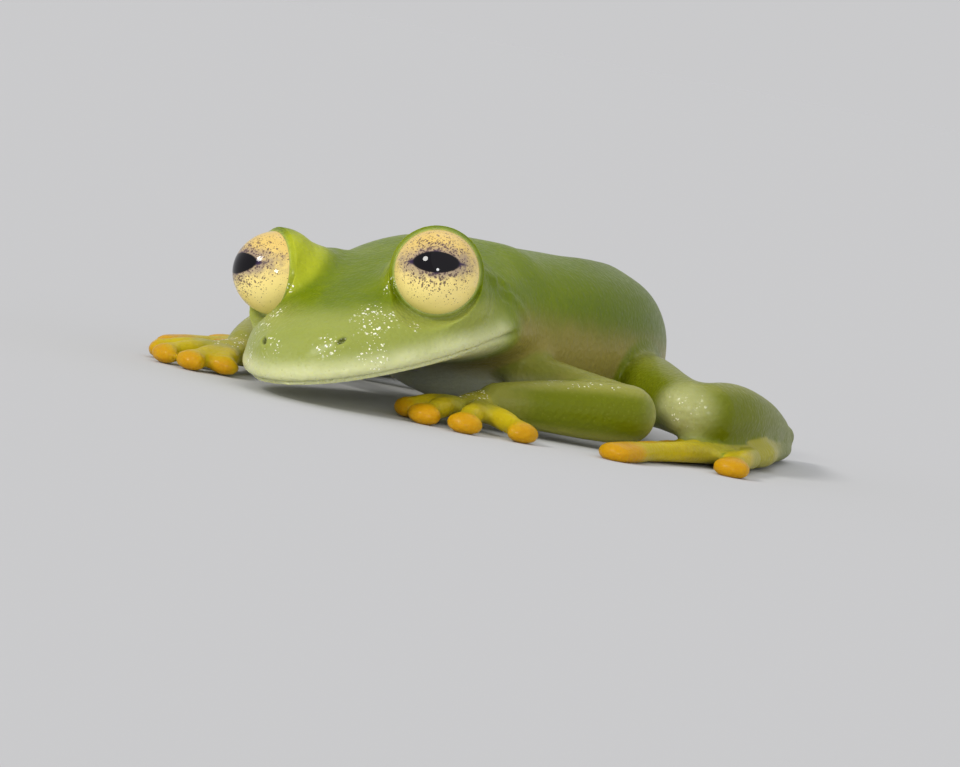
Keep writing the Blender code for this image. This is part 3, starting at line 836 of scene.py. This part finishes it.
# Clusters of wet points on the snout, painted white as glints: out from the midline, behind its
# tip, above the mouth's plane, radius and strength. They are fewer on the right, and lie on knees,
# arms and palms too
GLINT_CLUSTERS = (
    (2.1, 2.6, 1.9, 0.8, 0.7), (1.1, 0.7, 1.2, 0.6, 0.7), (3.3, 3.2, 1.5, 0.4, 0.7),
    (2.6, 1.3, 0.7, 0.5, 0.7), (2.1, 3.9, 2.7, 0.35, 0.7), (2.2, 1.8, 1.3, 1.1, 0.25),
)
GLINT_RIGHT = 0.75
GLINT_KNEE = 0.4
GLINT_ARM = 0.42
GLINT_PALM = 0.5
# How far the skin must face up, where the light falls, for painted glints on forearms and palms, where
# along the forearm they lie, and where the palms' glints end along the digits
GLINT_TOPS = (0.5, 0.9)
GLINT_ARM_MIDDLE = (0.45, 0.3)
PALM_ENDS = (0.1, 0.3)
LEAST_THICKNESS = 0.3


def nearness(points, path, sizes):
    """How close points are to a limb's middle line, in its own thicknesses, and how far along it:
    the least, over places on that line, of the distance over the thickness there."""
    centres, wide, tall, shares = limb_path(path, sizes, LINE_STEPS)
    best, where = np.full(len(points), np.inf), np.zeros(len(points))
    for centre, thickness, share in zip(centres, np.maximum((wide + tall) / 2, LEAST_THICKNESS), shares):
        close = distance(points, centre) / thickness
        nearer = close < best
        best[nearer], where[nearer] = close[nearer], share
    return best, where


kinds = np.array([kind.rstrip("0123456789") for kind, _ in limbs])
closeness, alongs = (
    np.stack(found, 1) for found in zip(*(nearness(points, *form) for form in limbs.values()))
)


def closest(*wanted):
    """How close points are to the nearest limb of some kinds."""
    return closeness[:, np.isin(kinds, wanted)].min(1)


def along(*wanted):
    """How far along the nearest limb of some kinds points lie, from 0 to 1."""
    columns = np.flatnonzero(np.isin(kinds, wanted))
    nearest = columns[closeness[:, columns].argmin(1)]
    return alongs[np.arange(len(points)), nearest]


def on_limbs(*wanted, fades=LIMB_FADES):
    """1 on limbs of some kinds, falling to 0 as points leave them."""
    return 1 - eased(closest(*wanted), *fades)


arm = on_limbs("forearm")
leg = on_limbs("thigh", "shank", "tarsus")
hand = on_limbs("palm", "finger", fades=HAND_FADES)
foot = np.maximum(
    on_limbs("sole", "toe", fades=HAND_FADES) * eased(along("tarsus"), *FOOT_STARTS),
    on_limbs("tarsus", fades=TARSUS_FADES) * eased(along("tarsus"), *TARSUS_YELLOWS),
)
bare_body = 1 - np.maximum.reduce([arm, leg, hand, foot, UPPER_ARM_COVER * on_limbs("upper_arm")])
to_limbs = closest("upper_arm", "forearm", "thigh", "shank")
to_hands = closest("palm", "finger", "sole", "toe", "tarsus")
hands_own = eased(to_limbs - to_hands, *CLOSER_BY)
extremity = np.maximum(hand, foot) * hands_own
digit_share = on_limbs("finger", "toe", fades=DIGIT_FADES) * hands_own
along_digit = along("finger", "toe")
knees, elbows = 0, 0
for side, out in (("left", 1), ("right", -1)):
    knee_front = np.array(LEG[side]["knee"]) + (KNEE_FRONT[0] * out, *KNEE_FRONT[1:])
    knees = knees + 1 - eased(distance(points, knee_front), *KNEE_FADES)
    elbows = elbows + 1 - eased(distance(points, np.array(ARM[side]["elbow"])), *ELBOW_FADES)
knees = knees * (1 - eased(closest("thigh", "shank"), *KNEE_SKIN))
level = np.abs(normals[:, 2])
# Skin that faces up, which takes the painted glints on forearms and palms
top = eased(normals[:, 2], *GLINT_TOPS)
arm_edge = np.maximum(eased(level, *ARM_EDGE), eased(along("forearm"), *WRIST_STARTS))
leg_edge = LEG_PALENESS * eased(level, *LEG_EDGE)


def body_shares(head, torso, bare):
    """Shares of the body's colours where it is bare of limbs: products of fades by height and by
    distance behind the snout's tip."""
    height, behind = head[:, 2], head[:, 1]
    lip = (1 - eased(height, *LIP_TOP)) * (1 - LIP_DULLNESS * eased(behind, *LIP_DULLS))
    pale = 1 - eased(height + PALE_TOP_FALLS * behind, *PALE_TOP)
    return {
        "back": BACK_DARKNESS * eased(torso[:, 1], *BACK_DARKENS) * bare,
        "pale": pale * (1 - eased(behind, *PALE_END)) * bare,
        "lip": lip * (1 - eased(behind, *LIP_END)) * bare,
        "flank": (1 - eased(torso[:, 2], *FLANK_TOP)) * eased(torso[:, 1], *FLANK_STARTS) * bare,
        "belly": (1 - eased(torso[:, 2], *BELLY_TOP)) * bare,
    }


def eye_shares(points, head):
    """Shares of the lids' rim, of the glow on the mounds and of the nostrils' shade: bell curves
    of distances from the eyes and nostrils."""
    rim, glow, painted_nostril_shade = 0, 0, 0
    for side in (1, -1):
        ahead, aside = eye_reach(points, side)
        rim = rim + RIM[0] * hump(aside, *RIM[1:]) * eased(ahead, *RIM_STARTS)
        inward = eased((EYE_PLACE[0] - head[:, 0] * side) / LID_RADIUS, *GLOW_INWARD)
        shell = hump(distance(points, eye_place(side)[0]), *GLOW)
        glow = glow + GLOW_STRENGTH[side] * shell * inward * eased(head[:, 2], *GLOW_HEIGHT)
        painted_nostril_shade = painted_nostril_shade + hump(nostril_reach(points, side)[0], 0, NOSTRIL_SHADE)
    return {"rim": rim, "glow": glow, "painted_nostril_shade": painted_nostril_shade}


def glint_share(head, bare):
    """Where glints are painted white, on wet points that are also glossier and raised: bell curves
    round the snout's clusters, and the tops of knees, forearms and palms."""
    folded = np.column_stack([np.abs(head[:, 0]), head[:, 1:]])
    snout = sum(s * hump(distance(folded, place), 0, r) for *place, r, s in GLINT_CLUSTERS)
    snout = snout * np.where(head[:, 0] > 0, 1, GLINT_RIGHT) * bare
    arms = arm * top * hump(along("forearm"), *GLINT_ARM_MIDDLE)
    palms = on_limbs("palm") * top * (1 - digit_share * eased(along_digit, *PALM_ENDS))
    return np.clip(snout + GLINT_KNEE * knees + GLINT_ARM * arms + GLINT_PALM * palms, 0, 1)


head = unposed(points, HEAD_MATRIX)
shares = {
    **body_shares(head, unposed(points, TORSO_MATRIX), bare_body),
    **eye_shares(points, head),
    "limb": np.maximum(arm, leg),
    "edge": np.maximum(arm * arm_edge, leg * leg_edge),
    "joint": np.clip(np.maximum(knees, elbows * ELBOW_PALENESS), 0, 1) * (1 - extremity),
    "hand": extremity,
    "digit": digit_share * eased(along_digit, *DIGIT_STARTS),
    "disc": digit_share * eased(along_digit, *DISC_STARTS),
    "glint": glint_share(head, bare_body),
}


def in_metres(points):
    """Points moved so that the middle of the frog's box is over the origin, and scaled."""
    return (points - CENTRE) * MM


def mark(mesh, name, values):
    """Stores a number at each point of a mesh, for its material to read."""
    mesh.attributes.new(name, "FLOAT", "POINT").data.foreach_set("value", values.astype(np.float32))


mesh.vertices.foreach_set("co", in_metres(points).ravel())
for name, share in shares.items():
    mark(mesh, name, share)
mesh.shade_smooth()
mesh.update()
skin = placed("skin", mesh)


class Wire:
    """One output of a material's nodes. Sums and products of wires add the nodes that work them out."""

    def __init__(self, tree, socket=None):
        self.tree, self.socket = tree, socket

    def node(self, kind, settings=(), inputs=(), output=0):
        """A node of a kind, its settings put in before its inputs, which are numbers or wires."""
        made = self.tree.nodes.new("ShaderNode" + kind)
        for name, value in dict(settings).items():
            setattr(made, name, value)
        for name, value in dict(inputs).items():
            if isinstance(value, Wire):
                self.tree.links.new(value.socket, made.inputs[name])
            else:
                made.inputs[name].default_value = value
        return Wire(self.tree, made.outputs[output])

    def maths(self, operation, first, second=0):
        """A Math node's operation on two numbers or wires."""
        return self.node("Math", {"operation": operation}, {0: first, 1: second})

    def __add__(self, other):
        return self.maths("ADD", self, other)

    def __radd__(self, other):
        return self.maths("ADD", other, self)

    def __sub__(self, other):
        return self.maths("SUBTRACT", self, other)

    def __rsub__(self, other):
        return self.maths("SUBTRACT", other, self)

    def __mul__(self, other):
        return self.maths("MULTIPLY", self, other)

    def __rmul__(self, other):
        return self.maths("MULTIPLY", other, self)

    def __truediv__(self, other):
        return self.maths("DIVIDE", self, other)

    def __rtruediv__(self, other):
        return self.maths("DIVIDE", other, self)

    def eased(self, start, end):
        """0 up to start, 1 from end, and a smooth step between."""
        settings = {"interpolation_type": "SMOOTHSTEP"}
        inputs = {"Value": self, "From Min": start, "From Max": end}
        return self.node("MapRange", settings, inputs)

    def between(self, colour, other):
        """A colour mixed from colour, where this wire is 0, to other, where it is 1."""
        return self.node("Mix", {"data_type": "RGBA"}, {0: self, 6: colour, 7: other}, 2)

    def share(self, name):
        """What a mesh stores under a name at each of its points."""
        return self.node("Attribute", {"attribute_name": name}, output="Fac")

    def into(self, shader, name):
        """Feeds this wire to a socket of the shader."""
        self.tree.links.new(self.socket, shader.inputs[name])


# The skin's material: green mottled in two tones, with the paints laid over it in this order,
# a fine grain of pores, and small uneven wet points that are glossier and raised, and painted
# pale as glints.
GREENS = ((0.118, 0.172, 0.001, 1), (0.17, 0.225, 0.001, 1))
PAINTS = {
    "back": (0.098, 0.142, 0.001, 1),
    "flank": (0.28, 0.235, 0.055, 1),
    "belly": (0.58, 0.6, 0.43, 1),
    "pale": (0.3, 0.34, 0.07, 1),
    "lip": (0.6, 0.62, 0.33, 1),
    "limb": (0.135, 0.16, 0.002, 1),
    "edge": (0.27, 0.27, 0.045, 1),
    "hand": (0.34, 0.31, 0.03, 1),
    "joint": (0.42, 0.43, 0.18, 1),
    "digit": (0.48, 0.375, 0.008, 1),
    "disc": (0.52, 0.27, 0.003, 1),
    "glow": (0.42, 0.46, 0.02, 1),
    "rim": (0.4, 0.47, 0.15, 1),
    # Painted shade in the nostrils' slits
    "painted_nostril_shade": (0.03, 0.035, 0.004, 1),
}
# The colour of the painted glints on the wet points
PAINTED_GLINT_COLOUR = (1.000, 1.000, 0.82, 1)
# Sizes of the patterns, in features to a metre
MOTTLE_SCALE = 700
GLINT_PATCH_SCALE = 2200
PATCH_SCALE = 2600
PORE_SCALE = 5200
# A paint's least strength, and how much the mottling adds to it
PAINT_STRENGTH = (0.55, 0.9)
FRECKLE_STRENGTH = 0.22
# Scales of the wet points and their painted glints, coarse and fine, and the most of its cell
# that one takes up
GLINT_SPOTS = ((4600, 0.31), (9000, 0.36))
# How high each pattern stands, in shares of the relief's distance
RELIEF = {"cells": 0.5, "pores": 0.7, "mottle": 0.6, "wet_gloss_and_painted_glint": 0.5}
RELIEF_STRENGTH = 0.6
RELIEF_DISTANCE = 0.00007
# How rough the skin is at least, how much pores add, and how much a wet point takes away
ROUGHNESS = (0.3, 0.2, 0.15)
SKIN_FINISH = {
    "Subsurface Weight": 0.5,
    "Subsurface Radius": (1, 0.9, 0.25),
    "Subsurface Scale": 0.0004,
    "Coat Weight": 0.15,
    "Coat Roughness": 0.15,
    "Coat IOR": 1.35,
    "Specular IOR Level": 0.1,
}


def finished(name, finish):
    """A new material, its shader with the finish's constants, and the Object coordinates' wire."""
    material = bpy.data.materials.new(name)
    material.use_nodes = True
    shader = material.node_tree.nodes["Principled BSDF"]
    for socket, value in finish.items():
        shader.inputs[socket].default_value = value
    place = Wire(material.node_tree).node("TexCoord", output="Object")
    return material, shader, place


def cloudy(place, scale, detail=3, roughness=0.55):
    """Cloudy noise from 0 to 1 with a number of features to a metre."""
    inputs = {"Vector": place, "Scale": scale, "Detail": detail, "Roughness": roughness}
    return place.node("TexNoise", {}, inputs, "Fac")


def spots(place, scale, most):
    """Uneven spots, one to a cell at most: 1 where the distance from the cell's middle is under
    the cell's own share of most, with places bent by noise."""
    noise = {"Vector": place, "Scale": scale * 2.2, "Detail": 2}
    bent = place.node("TexNoise", {}, noise, "Color")
    shift = place.node("VectorMath", {"operation": "SCALE"}, {0: bent, "Scale": 0.7 / scale})
    moved = place.node("VectorMath", {"operation": "ADD"}, {0: place, 1: shift})
    cells = {"Vector": moved, "Scale": scale}
    apart = place.node("TexVoronoi", {}, cells, "Distance")
    tone = place.node("TexVoronoi", {}, cells, "Color")
    red = {0: tone, 1: (1, 0, 0)}
    size = place.node("VectorMath", {"operation": "DOT_PRODUCT"}, red, "Value")
    return 1 - (apart - size * most).eased(-0.05, 0.04)


def bumped(place, height, strength, distance):
    """Normals tilted by a height, a wire, that counts for a distance in metres."""
    inputs = {"Height": height, "Strength": strength, "Distance": distance}
    return place.node("Bump", {}, inputs, "Normal")


material, shader, place = finished("skin", SKIN_FINISH)
mottle = cloudy(place, MOTTLE_SCALE, 4)
pores = cloudy(place, PORE_SCALE)
patches = mottle.eased(0.3, 0.75) * 0.55 + cloudy(place, PATCH_SCALE).eased(0.35, 0.7) * 0.35
colour = patches.between(*GREENS)
uneven = mottle * PAINT_STRENGTH[1] + PAINT_STRENGTH[0]
for name, paint in PAINTS.items():
    colour = (place.share(name) * uneven).eased(0, 1).between(colour, paint)
cells = place.node("TexVoronoi", {}, {"Vector": place, "Scale": PORE_SCALE}, "Distance")
freckles = 1 - cells.eased(0.1, 0.24)
colour = (freckles * FRECKLE_STRENGTH).between(colour, PAINTS["edge"])
# Wet points: painted near white as glints, and below made glossier and raised
wet_gloss_and_painted_glint = place.maths("MAXIMUM", *(spots(place, *size) for size in GLINT_SPOTS))
glint_patches = place.share("glint") * (cloudy(place, GLINT_PATCH_SCALE) * 2.2 - 0.25)
wet_gloss_and_painted_glint = wet_gloss_and_painted_glint * (1 - place.share("painted_nostril_shade")) * glint_patches.eased(0.22, 0.42)
wet_gloss_and_painted_glint.between(colour, PAINTED_GLINT_COLOUR).into(shader, "Base Color")
relief = cells * RELIEF["cells"] + pores * RELIEF["pores"] + mottle * RELIEF["mottle"]
relief = relief + wet_gloss_and_painted_glint * RELIEF["wet_gloss_and_painted_glint"]
bumped(place, relief, RELIEF_STRENGTH, RELIEF_DISTANCE).into(shader, "Normal")
rough = pores.eased(0.2, 0.8) * ROUGHNESS[1] + ROUGHNESS[0] - wet_gloss_and_painted_glint * ROUGHNESS[2]
rough.into(shader, "Roughness")
mesh.materials.append(material)
LIMB_NODES = ("upper_arm", "forearm", "hand", "thigh", "shank", "tarsus", "foot")
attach(skin, "root")
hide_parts("head", "torso", *(f"{limb}_{side}" for limb in LIMB_NODES for side in ARM))


# The eyes: two glossy balls, cast in clear resin over a painted gold iris, set in the lids. The
# iris is gold with painted light, cream on its lower half where the front light falls, and has
# dense purple-brown specks round a flat dark pupil, thinning outward.

EYE_RINGS = 72
EYE_SIDES = 96
# How far the clear front stands out, and over how many degrees off the line of sight
CORNEA_RISE = 0.12
CORNEA_SPREAD = 38
# The pupil: half its width and height, its place on the iris, and its drawn-out dark corners
PUPIL = (0.84, 0.39)
PUPIL_OUT = -0.07
PUPIL_UP = 0.2
PUPIL_CORNERS = (1.16, 0.46)
# The iris's colours: its cream is painted light on the lower half
IRIS_COLOURS = {
    "gold": (0.74, 0.52, 0.15, 1),
    "painted_lit_cream": (1.000, 0.82, 0.3, 1),
    "speck": (0.08, 0.045, 0.055, 1),
    "cloud": (0.21, 0.16, 0.19, 1),
    "corner": (0.035, 0.02, 0.06, 1),
    "pupil": (0.003, 0.002, 0.004, 1),
}
CLOUD_SCALE = 3800
CLOUD_STRENGTH = 0.72
SPECK_STRENGTH = 0.85
# Scales of the iris's specks, coarse and fine, and the most of its cell that one takes up
SPECKS = ((8500, 0.66), (15000, 0.78))
FLECK_STRENGTH = 0.12
FLECK_DISTANCE = 0.00004
EYE_FINISH = {
    "Roughness": 0.35,
    "Specular IOR Level": 0,
    "Coat Weight": 1,
    "Coat IOR": 1.34,
    "Coat Roughness": 0.02,
}


def eyeball(name, side):
    """A ball by its angle off the line of sight and its turn about it, with a bell-shaped rise in front."""
    middle, look = eye_place(side)
    across = side * (HEAD_MATRIX[:, 0] - look * (HEAD_MATRIX[:, 0] @ look))
    across /= np.linalg.norm(across)
    rise = side * np.cross(look, across)
    angle = np.linspace(math.pi, 0, EYE_RINGS + 2)[1:-1, None, None]
    turn = (2 * math.pi * np.arange(EYE_SIDES) / EYE_SIDES)[None, :, None]
    ring = across * np.cos(turn) + rise * np.sin(turn) * side
    radius = EYE_RADIUS + CORNEA_RISE * hump(np.degrees(angle), 0, CORNEA_SPREAD)
    surface = middle + radius * (look * np.cos(angle) + ring * np.sin(angle))
    front = middle + look * (EYE_RADIUS + CORNEA_RISE)
    points, quads, triangles = lofted(surface, middle - look * EYE_RADIUS, front)
    mesh = bpy.data.meshes.new(name)
    mesh.from_pydata(in_metres(points).tolist(), [], quads.tolist() + triangles.tolist())
    mark(mesh, "across", (points - middle) @ across)
    mark(mesh, "rise", (points - middle) @ rise)
    mesh.shade_smooth()
    return placed(name, mesh)


eye_material, shader, place = finished("eye", EYE_FINISH)
across, rise = place.share("across") - PUPIL_OUT, place.share("rise")
height = rise - PUPIL_UP
oval = place.maths("SQRT", across * across / PUPIL[0] ** 2 + height * height / PUPIL[1] ** 2)
corners = place.maths("ABSOLUTE", across) / PUPIL_CORNERS[0]
corners = corners + place.maths("ABSOLUTE", height) / PUPIL_CORNERS[1]
clouds = cloudy(place, CLOUD_SCALE, 5, 0.65)
uneven = clouds - 0.5
away = place.maths("SQRT", across * across * 0.75 + height * height)
dense = 1 - (away + uneven * 0.8).eased(0.1, 2.15)
specks = place.maths("MAXIMUM", *(spots(place, scale, dense * most) for scale, most in SPECKS))
# Painted light: the iris is cream lower down and gold higher up, varied by the clouds
painted_light_on_iris = (rise * -0.45 + clouds * 0.3).eased(-0.35, 0.65)
iris = painted_light_on_iris.between(IRIS_COLOURS["gold"], IRIS_COLOURS["painted_lit_cream"])
shaded = (1 - (oval + uneven * 1.6).eased(1, 2.05)) * CLOUD_STRENGTH
iris = shaded.between(iris, IRIS_COLOURS["cloud"])
iris = (specks * SPECK_STRENGTH).between(iris, IRIS_COLOURS["speck"])
iris = (1 - (corners + uneven * 0.3).eased(0.8, 1.1)).between(iris, IRIS_COLOURS["corner"])
oval.eased(0.93, 1.05).between(IRIS_COLOURS["pupil"], iris).into(shader, "Base Color")
bumped(place, clouds, FLECK_STRENGTH, FLECK_DISTANCE).into(shader, "Normal")
for name, side in (("eye_left", 1), ("eye_right", -1)):
    eye = eyeball("gold_" + name, side)
    eye.data.materials.append(eye_material)
    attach(eye, "root")
    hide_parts(name)


# The light: far, broad soft lamps, which light the floor evenly to its edge: one over the camera's
# left shoulder, a weaker one from its right, one from behind, a small hard one beside the camera
# that glints in the wet skin and eyes, and an even pale sky.

SKY_COLOUR = np.array((0.59, 0.59, 0.6))
# Degrees round from the frog's front, degrees up, degrees of spread, strength and colour
LAMPS = {
    "key": (-18, 32, 14, 1.5, (1, 0.98, 0.94)),
    "fill": (80, 40, 120, 0.5, (0.97, 0.98, 1)),
    "back": (200, 60, 40, 0.2, (1, 1, 0.96)),
    "glint": (34, 9, 9, 0.75, (1, 1, 1)),
}
LAMP_DISTANCE = 0.3


def far_lamp(name, azimuth, elevation, spread, strength, colour):
    """A lamp so far off that its light is even, and what the floor sends back of it: its strength
    times the sine of its elevation, over pi."""
    way = Vector(way_of(azimuth, elevation))
    data = bpy.data.lights.new(name, "SUN")
    data.angle = math.radians(spread)
    data.energy = strength
    data.color = colour
    lamp = placed(name, data)
    lamp.location = way * LAMP_DISTANCE
    lamp.rotation_euler = way.to_track_quat("Z", "Y").to_euler()
    return strength * math.sin(math.radians(elevation)) * np.array(colour) / math.pi


on_floor = sum(far_lamp(name, *lamp) for name, lamp in LAMPS.items())
world = bpy.data.worlds.new("studio")
world.use_nodes = True
world.node_tree.nodes["Background"].inputs["Color"].default_value = (*SKY_COLOUR, 1)
world.node_tree.nodes["Background"].inputs["Strength"].default_value = 1
bpy.context.scene.world = world
bpy.context.scene.view_settings.view_transform = "Standard"


# The floor: a wide pale matt board, just as light as makes it match the sky at its far edge, so
# that no line shows behind the frog. It isn't part of the model.

FLOOR_REACH = 6
board = bpy.data.meshes.new("floor")
edge = FLOOR_REACH * np.array([(-1, -1, 0), (1, -1, 0), (1, 1, 0), (-1, 1, 0)])
board.from_pydata(edge.tolist(), [], [(0, 1, 2, 3)])
floor_finish = {
    "Base Color": (*(SKY_COLOUR / (SKY_COLOUR + on_floor)), 1),
    "Roughness": 1,
    "Specular IOR Level": 0,
}
board.materials.append(finished("floor", floor_finish)[0])
placed("floor", board)


# The camera: a long lens at the photo's angle, low and turned with the frog. It is aimed so that
# the middle of the left eye falls on its own pixel of the picture.

# Degrees round from the frog's front, degrees up, and the degrees that the picture is turned
CAMERA_WAY = (32, 3.8)
CAMERA_ROLL = math.radians(11)
CAMERA_DISTANCE = 0.19
CAMERA_LENS = 200
SENSOR_WIDTH = 36
CLIP = (0.01, 5)
EYE_PIXEL = (435, 270)
PICTURE = (960, 767)

target = Vector(rows_of(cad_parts["eye_left"].data.vertices, "co").mean(0))
back = Vector(way_of(*CAMERA_WAY))
right = (-back).cross(Vector((0, 0, 1))).normalized()
up = right.cross(-back)
across = right * math.cos(CAMERA_ROLL) + up * math.sin(CAMERA_ROLL)
upward = up * math.cos(CAMERA_ROLL) - right * math.sin(CAMERA_ROLL)
pixel = SENSOR_WIDTH * CAMERA_DISTANCE / CAMERA_LENS / PICTURE[0]
aim = target - across * (EYE_PIXEL[0] - PICTURE[0] / 2) * pixel
aim = aim + upward * (EYE_PIXEL[1] - PICTURE[1] / 2) * pixel
data = bpy.data.cameras.new("camera")
data.lens = CAMERA_LENS
data.sensor_width = SENSOR_WIDTH
data.clip_start, data.clip_end = CLIP
camera = placed("camera", data)
matrix = [*zip(across, upward, back, aim + back * CAMERA_DISTANCE), (0, 0, 0, 1)]
camera.matrix_world = Matrix(matrix)
bpy.context.scene.camera = camera
